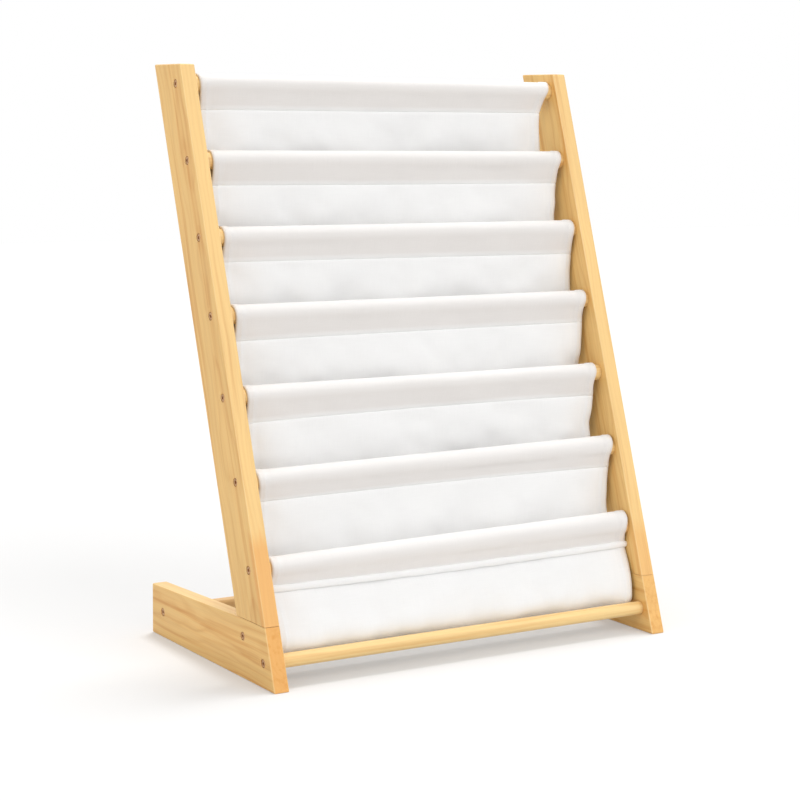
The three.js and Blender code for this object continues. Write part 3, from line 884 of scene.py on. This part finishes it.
def unevenness(grid, rows):
    """How far back the cloth's soft waves and its puckers by the side hems take each point. They depend on
    the place alone, so that layers that hang close together move as one."""
    waves = np.zeros(grid.shape[:2])
    for index, row in enumerate(rows):
        if row["seam"]:
            loose = 0
        else:
            loose = sin(pi * min(1.0, row["hang"])) ** 0.5 if row["hang"] else LOOSE_ON_SLEEVE
        for column, (across, _, up) in enumerate(grid[index]):
            side = 1 if across > 0 else -1
            by_hem = max(0.0, 1 - (STRIP_HALF - abs(across)) / PUCKER_REACH)
            soft = sum(height * rumpled((across, up), *wave) for height, *wave in cloth_waves)
            pucker = noise.noise(Vector((across * 14 + side * up * 9, up * 34 - side * across * 20, 5.3)))
            waves[index, column] = loose * MM * (soft + PUCKER_HEIGHT * by_hem * pucker)
    return waves


def hung(grid, rows, lengths):
    """The strip after a cloth simulation, which lets its slack buckle. Its edges keep their own lines."""
    columns = grid.shape[1]
    widths = np.linspace(0, 2 * STRIP_HALF, columns)
    bm, places = strip_mesh(grid, widths, lengths)
    trial = linked("canvas_trial", mesh_of("canvas_trial", bm))
    pinned = trial.vertex_groups.new(name="pinned")
    slack = trial.vertex_groups.new(name="slack")
    for vertex, (row, column) in places.items():
        pinned.add([vertex], rows[row]["held"], "REPLACE")
        from_edge = min(widths[column], 2 * STRIP_HALF - widths[column])
        patch = min(1.0, max(0.0, 0.5 + 0.5 * rumpled((widths[column], lengths[row]), 16, 12.7)))
        share = min(1.0, from_edge / (2.5 * HEM_WIDTH)) * (0.55 + 0.45 * patch)
        slack.add([vertex], share if rows[row]["hang"] else 0.6 * share, "REPLACE")
    cloth = trial.modifiers.new("drape", "CLOTH")
    for name, value in cloth_settings.items():
        setattr(cloth.settings, name, value)
    cloth.settings.effector_weights.gravity = SIM_GRAVITY
    cloth.collision_settings.use_collision = False
    cloth.point_cache.frame_start = 1
    cloth.point_cache.frame_end = SIM_FRAMES
    for step in range(1, SIM_FRAMES + 1):
        bpy.context.scene.frame_set(step)
    settled = grid.copy()
    evaluated = trial.evaluated_get(bpy.context.evaluated_depsgraph_get())
    for vertex, place in places.items():
        settled[place] = evaluated.data.vertices[vertex].co
    bpy.context.scene.frame_set(1)
    bpy.data.objects.remove(trial)
    across = np.linspace(-1, 1, columns)
    for edge, side in ((0, across < 0), (-1, across > 0)):
        drawn = grid[:, edge, 0] - settled[:, edge, 0]
        settled[:, :, 0] += drawn[:, None] * side * np.abs(across) ** 3
    return settled


rows = strip_rows()
modelled = strip_points(rows, SIM_COLUMNS)
lengths = travel(modelled[:, SIM_COLUMNS // 2])
modelled = hung(modelled, rows, lengths)
modelled[:, :, 1] += unevenness(modelled, rows)
modelled = kept_clear(modelled)


# Canvas: the finished strip

def final_columns():
    """Flat places across the strip, close together where the side hems step down."""
    hem = [0, 0.35 * HEM_WIDTH, 0.7 * HEM_WIDTH, HEM_WIDTH - HEM_STEP / 2, HEM_WIDTH + HEM_STEP / 2]
    inner = 2 * (STRIP_HALF - HEM_WIDTH)
    count = round(inner / FINAL_COLUMN)
    body = [HEM_WIDTH + inner * step / count for step in range(1, count)]
    return np.array(hem + body + [2 * STRIP_HALF - place for place in reversed(hem)])


def finished_strip(grid, rows, lengths):
    """The strip with twice the rows, drawn in along its seams, with its columns' and rows' flat places, its
    rows' painted sleeve shade, and which rows are seams."""
    widths = final_columns()
    across = widths / (2 * STRIP_HALF) * (grid.shape[1] - 1)
    grid = np.swapaxes(resampled(np.swapaxes(grid, 0, 1), across), 0, 1)
    seams = [index for index, row in enumerate(rows) if row["seam"]]
    # Each row's painted sleeve shade.
    on_rail = np.array([row["on_rail"] for row in rows])
    parts, flat, painted_shades, creases = [grid[:1]], [lengths[:1]], [on_rail[:1]], [0]
    for start, end in zip(seams, seams[1:]):
        steps = end - start
        places = np.linspace(0, steps, 2 * steps + 1)[1:]
        places = np.sort(np.append(places, (SEAM_CREASE, steps - SEAM_CREASE)))
        parts.append(resampled(grid[start:end + 1], places))
        whole = np.arange(steps + 1)
        flat.append(np.interp(places, whole, lengths[start:end + 1]))
        painted_shades.append(np.interp(places, whole, on_rail[start:end + 1]))
        creases.append(creases[-1] + len(places))
    grid = np.concatenate(parts)
    for crease, seam in zip(creases, seams):
        row = rows[seam]
        grid[crease, :, 1] += copysign(SEAM_PINCH, seam_point(row["tier"]).x - row["point"].x)
    return grid, widths, np.concatenate(flat), np.concatenate(painted_shades), creases


def weave_group():
    """Plain weave, threads over and under each other, in flat metres."""
    group, given, out = new_group("plain_weave", {"Flat": "Vector", "Pitch": "Float"}, ("Height", "Slub"))
    threads = scaled(group, given["Flat"], maths(group, "DIVIDE", 1.0, given["Pitch"]))
    split = node(group, "SeparateXYZ", {"Vector": threads}).outputs
    warp, weft = (maths(group, "ABSOLUTE", maths(group, "SINE", times(group, split[axis], pi)))
                  for axis in "XY")
    crossing = maths(group, "ADD", *(maths(group, "FLOOR", split[axis]) for axis in "XY"))
    over = maths(group, "PINGPONG", crossing, 1.0)
    high = mixed(group, over, warp, weft)
    low = mixed(group, over, weft, warp)
    slub = maths(group, "ADD", *(noise_at(group, given["Flat"], scale)
                                 for scale in ((1300, 40, 1), (40, 1300, 1))))
    fill(group, out, {"Height": maths(group, "MAXIMUM", high, times(group, low, 0.55)),
                      "Slub": times(group, slub, 0.5)})
    return group


# The sleeves' painted shade colour, greyer than the plain white.
CANVAS_WHITE = srgb(249, 249, 249)
CANVAS_PAINTED_SHADE = srgb(236, 232, 229)


def canvas_finish(weave):
    """White cotton canvas, a little uneven in tone and thread. Painted shade greys its sleeves over and
    beside the rails, and a little painted shade darkens the weave's hollows.
    """
    looks = {"Roughness": 0.92, "Sheen_Weight": 0.06, "Sheen_Roughness": 0.5}
    material, tree, principled = new_material("white_canvas", **looks)
    flat = node(tree, "UVMap", uv_map="flat").outputs["UV"]
    threads = placed(tree, weave, {"Flat": flat, "Pitch": WEAVE_PITCH})
    # The on_rail attribute holds the painted sleeve shade.
    on_rail = node(tree, "Attribute", attribute_name="on_rail").outputs["Fac"]
    tone = times(tree, remap(tree, noise_at(tree, flat, (9, 9, 1)), 0.3, 0.7, 0.98, 1.0),
                 remap(tree, threads["Slub"], 0.35, 0.65, 0.965, 1.0))
    # Painted shade: the colour is a little darker where the weave lies low, in its hollows.
    tone = times(tree, tone, remap(tree, threads["Height"], 0.0, 1.0, 0.95, 1.0))
    # Painted shade: greys the sleeves where on_rail is high.
    colour = mixed(tree, on_rail, CANVAS_WHITE, CANVAS_PAINTED_SHADE)
    colour = mixed(tree, 1.0, colour, tone, blend="MULTIPLY")
    rough = remap(tree, threads["Slub"], 0.3, 0.7, 0.86, 0.97)
    fill(tree, principled.inputs, {"Base Color": colour, "Roughness": rough})
    height = maths(tree, "MULTIPLY_ADD", threads["Slub"], 0.5, threads["Height"])
    bumped(tree, principled, height, 0.35, 0.15 * MM)
    return material


canvas = canvas_finish(weave_group())
grid, widths, flat, painted_shades, creases = finished_strip(modelled, rows, lengths)


def canvas_sling():
    bm, places = strip_mesh(grid, widths, flat)
    # Painted shade: each vertex carries its row's painted sleeve shade in the on_rail attribute.
    on_rail = bm.verts.layers.float.new("on_rail")
    for vert in bm.verts:
        vert[on_rail] = painted_shades[places[vert.index][0]]
    for edge in bm.edges:
        edge.smooth = not all(places[vert.index][0] in creases for vert in edge.verts)
    face_outwards(bm)
    mesh = mesh_of("canvas_sling", bm)
    mesh.materials.append(canvas)
    mesh.polygons.foreach_set("use_smooth", [True] * len(mesh.polygons))
    made = linked("canvas_sling", mesh)
    hem = made.vertex_groups.new(name="hem")
    for vertex, (_, column) in places.items():
        if min(widths[column], 2 * STRIP_HALF - widths[column]) < HEM_WIDTH:
            hem.add([vertex], 1.0, "REPLACE")
    thick = made.modifiers.new("cloth", "SOLIDIFY")
    thick.thickness = HEM_CLOTH
    thick.offset = 0
    thick.vertex_group = "hem"
    thick.thickness_vertex_group = CLOTH / HEM_CLOTH
    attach(made, "root")
    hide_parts(*[f"canvas_sleeve_{number}" for number in range(1, 8)],
                *[f"canvas_pocket_{number}" for number in range(1, 7)])
    return made


# Canvas: its stitches, and the hem at its lower end

def surface_normals(grid):
    """The grid's normals, which point away from the rail on a sleeve."""
    normals = np.cross(np.gradient(grid, axis=0), np.gradient(grid, axis=1))
    return normals / np.maximum(np.linalg.norm(normals, axis=2, keepdims=True), 1e-12)


def one_stitch():
    bm = bmesh.new()
    bmesh.ops.create_uvsphere(bm, u_segments=4, v_segments=3, radius=1,
                              matrix=Matrix.Diagonal((STITCH_LENGTH / 2, THREAD / 2, THREAD / 2, 1)))
    return mesh_of("stitch", bm)


def sew(bm, stitch, line, normals, lift):
    """Adds a row of stitches along a line on the cloth, raised off it by lift."""
    along = travel(line)
    count = int(along[-1] / STITCH_PITCH)
    places = (np.arange(count) + 0.5) * along[-1] / count
    at_stitches = [np.stack([np.interp(places, along, values[:, axis]) for axis in range(3)], axis=1)
                   for values in (line, np.gradient(line, axis=0), normals)]
    for middle, ahead, out in zip(*at_stitches):
        forward, outward = Vector(ahead).normalized(), Vector(out)
        outward = (outward - forward * outward.dot(forward)).normalized()
        turn = Matrix((forward, outward.cross(forward), outward)).transposed().to_4x4()
        copy = stitch.copy()
        copy.transform(Matrix.Translation(Vector(middle) + outward * lift) @ turn)
        bm.from_mesh(copy)
        bpy.data.meshes.remove(copy)


def stitches():
    """Every row of stitches: along the seams, and on both faces of both side hems."""
    normals = surface_normals(grid)
    stitch, together = one_stitch(), bmesh.new()
    for row in creases:
        sew(together, stitch, grid[row, 1:-1], normals[row, 1:-1], CLOTH / 2)
    for inset in (HEM_STITCH_INSET, 2 * STRIP_HALF - HEM_STITCH_INSET):
        column = int(np.searchsorted(widths, inset)) - 1
        share = (inset - widths[column]) / (widths[column + 1] - widths[column])
        line, out = (values[:, column] * (1 - share) + values[:, column + 1] * share
                     for values in (grid, normals))
        for face in (1, -1):
            sew(together, stitch, line, face * out, HEM_CLOTH / 2)
    return piece("canvas_stitches", together, thread_finish())


def end_hem():
    """The strip's lower end, rolled over and sewn down in front of the lowest seam."""
    seam = grid[creases[-1]]
    first = seam[0] - END_HEM_PROUD * 0.3 * np.array([1, 0, 0])
    last = seam[-1] + END_HEM_PROUD * np.array([1, 0, 0])
    line = np.concatenate([[first], seam, [last]])
    roll = np.zeros((END_HEM_SIDES + 1, len(line), 3))
    for column, point in enumerate(line):
        x = point[0]
        sag = 0.4 * noise.noise(Vector((x * 21, 0.4, 2.2))) + 0.3 * noise.noise(Vector((x * 70, 3, 1)))
        fullness = 1 + 0.16 * noise.noise(Vector((x * 38, 7.7, 5.1)))
        fullness *= 0.75 if column in (0, len(line) - 1) else 1
        for step, angle in enumerate(np.linspace(0, tau, END_HEM_SIDES + 1)):
            ahead, up = (copysign(abs(value) ** END_HEM_SQUARENESS, value)
                         for value in (cos(angle), sin(angle)))
            roll[step, column] = point + np.array([
                0, -CLOTH / 2 - END_HEM_DEPTH / 2 * (0.8 + ahead * fullness),
                END_HEM_HEIGHT / 2 * (up * fullness - 0.25) + sag * MM])
    bm, _ = strip_mesh(roll, line[:, 0], travel(roll[:, 0]))
    # The end hem gets no painted sleeve shade.
    bm.verts.layers.float.new("on_rail")
    bmesh.ops.remove_doubles(bm, verts=bm.verts, dist=NEARLY_NOTHING)
    bmesh.ops.holes_fill(bm, edges=[edge for edge in bm.edges if edge.is_boundary])
    face_outwards(bm)
    return piece("canvas_end_hem", bm, canvas, crease=radians(80))


def thread_finish():
    material, tree, principled = new_material("white_thread", Roughness=0.7, Sheen_Weight=0.1)
    coordinates = node(tree, "TexCoord").outputs["Object"]
    twist = noise_at(tree, coordinates, (2600, 2600, 2600))
    colour = mixed(tree, remap(tree, twist, 0.35, 0.65), srgb(240, 238, 235), srgb(250, 249, 247))
    fill(tree, principled.inputs, {"Base Color": colour})
    bumped(tree, principled, twist, 0.3, 0.1 * MM)
    return material


canvas_sling()
stitches()
end_hem()


# Floor, light and camera

def seen_directly(tree, strength):
    """The strength for what the camera sees, also in shiny or through clear surfaces, and 0 for light."""
    path = node(tree, "LightPath").outputs
    seen = maths(tree, "MAXIMUM", path["Is Camera Ray"], path["Is Glossy Ray"])
    return times(tree, maths(tree, "MAXIMUM", seen, path["Is Transmission Ray"]), strength)


def floor():
    bm = bmesh.new()
    bmesh.ops.create_grid(bm, x_segments=1, y_segments=1, size=8)
    made = linked("floor", mesh_of("floor", bm))
    looks = {"Roughness": 0.95, "Base_Color": FLOOR_COLOUR, "Specular_IOR_Level": 0}
    material, tree, principled = new_material("pale_floor", **looks)
    glowing = {"Color": (1, 1, 1, 1), "Strength": seen_directly(tree, FLOOR_GLOW)}
    glow = node(tree, "Emission", glowing)
    both = node(tree, "AddShader", {0: principled.outputs[0], 1: glow.outputs[0]})
    tree.links.new(both.outputs[0], tree.nodes["Material Output"].inputs["Surface"])
    made.data.materials.append(material)


def world():
    made = bpy.data.worlds.new("studio")
    bpy.context.scene.world = made
    made.use_nodes = True
    tree = made.node_tree
    strength = maths(tree, "ADD", seen_directly(tree, 1 - AMBIENT), AMBIENT)
    fill(tree, tree.nodes["Background"].inputs, {"Color": (1, 1, 1, 1), "Strength": strength})


def soft_sun(name, towards, strength, spread, colour=(1, 1, 1)):
    """A broad, even light that comes from the direction towards."""
    data = bpy.data.lights.new(name, "SUN")
    data.energy, data.angle, data.color = strength, radians(spread), colour
    made = linked(name, data)
    made.rotation_mode = "QUATERNION"
    made.rotation_quaternion = Vector(towards).to_track_quat("Z", "Y")


def photo_camera():
    """The camera that the photograph was taken with, worked out from the shelf's own corners."""
    data = bpy.data.cameras.new("photo_camera")
    data.sensor_width = 36
    data.lens = CAMERA_FOCAL * data.sensor_width / IMAGE_WIDTH
    made = linked("photo_camera", data)
    forward = Vector((sin(CAMERA_YAW) * cos(CAMERA_PITCH),
                      cos(CAMERA_YAW) * cos(CAMERA_PITCH), -sin(CAMERA_PITCH)))
    right = Vector((cos(CAMERA_YAW), -sin(CAMERA_YAW), 0))
    turn = Matrix((right, right.cross(forward), -forward)).transposed().to_4x4()
    made.matrix_world = Matrix.Translation(CAMERA_PLACE) @ turn @ Matrix.Rotation(CAMERA_ROLL, 4, "Z")
    bpy.context.scene.camera = made


floor()
world()
soft_sun("overhead", (0.3, 0.28, 1.0), 1.75, 20)
soft_sun("key", (0.4, -1.0, 0.72), 1.15, 50)
soft_sun("fill", (-0.95, -0.15, 0.4), 0.95, 80, (1.0, 0.95, 0.87))
photo_camera()
bpy.context.scene.view_settings.view_transform = "Standard"
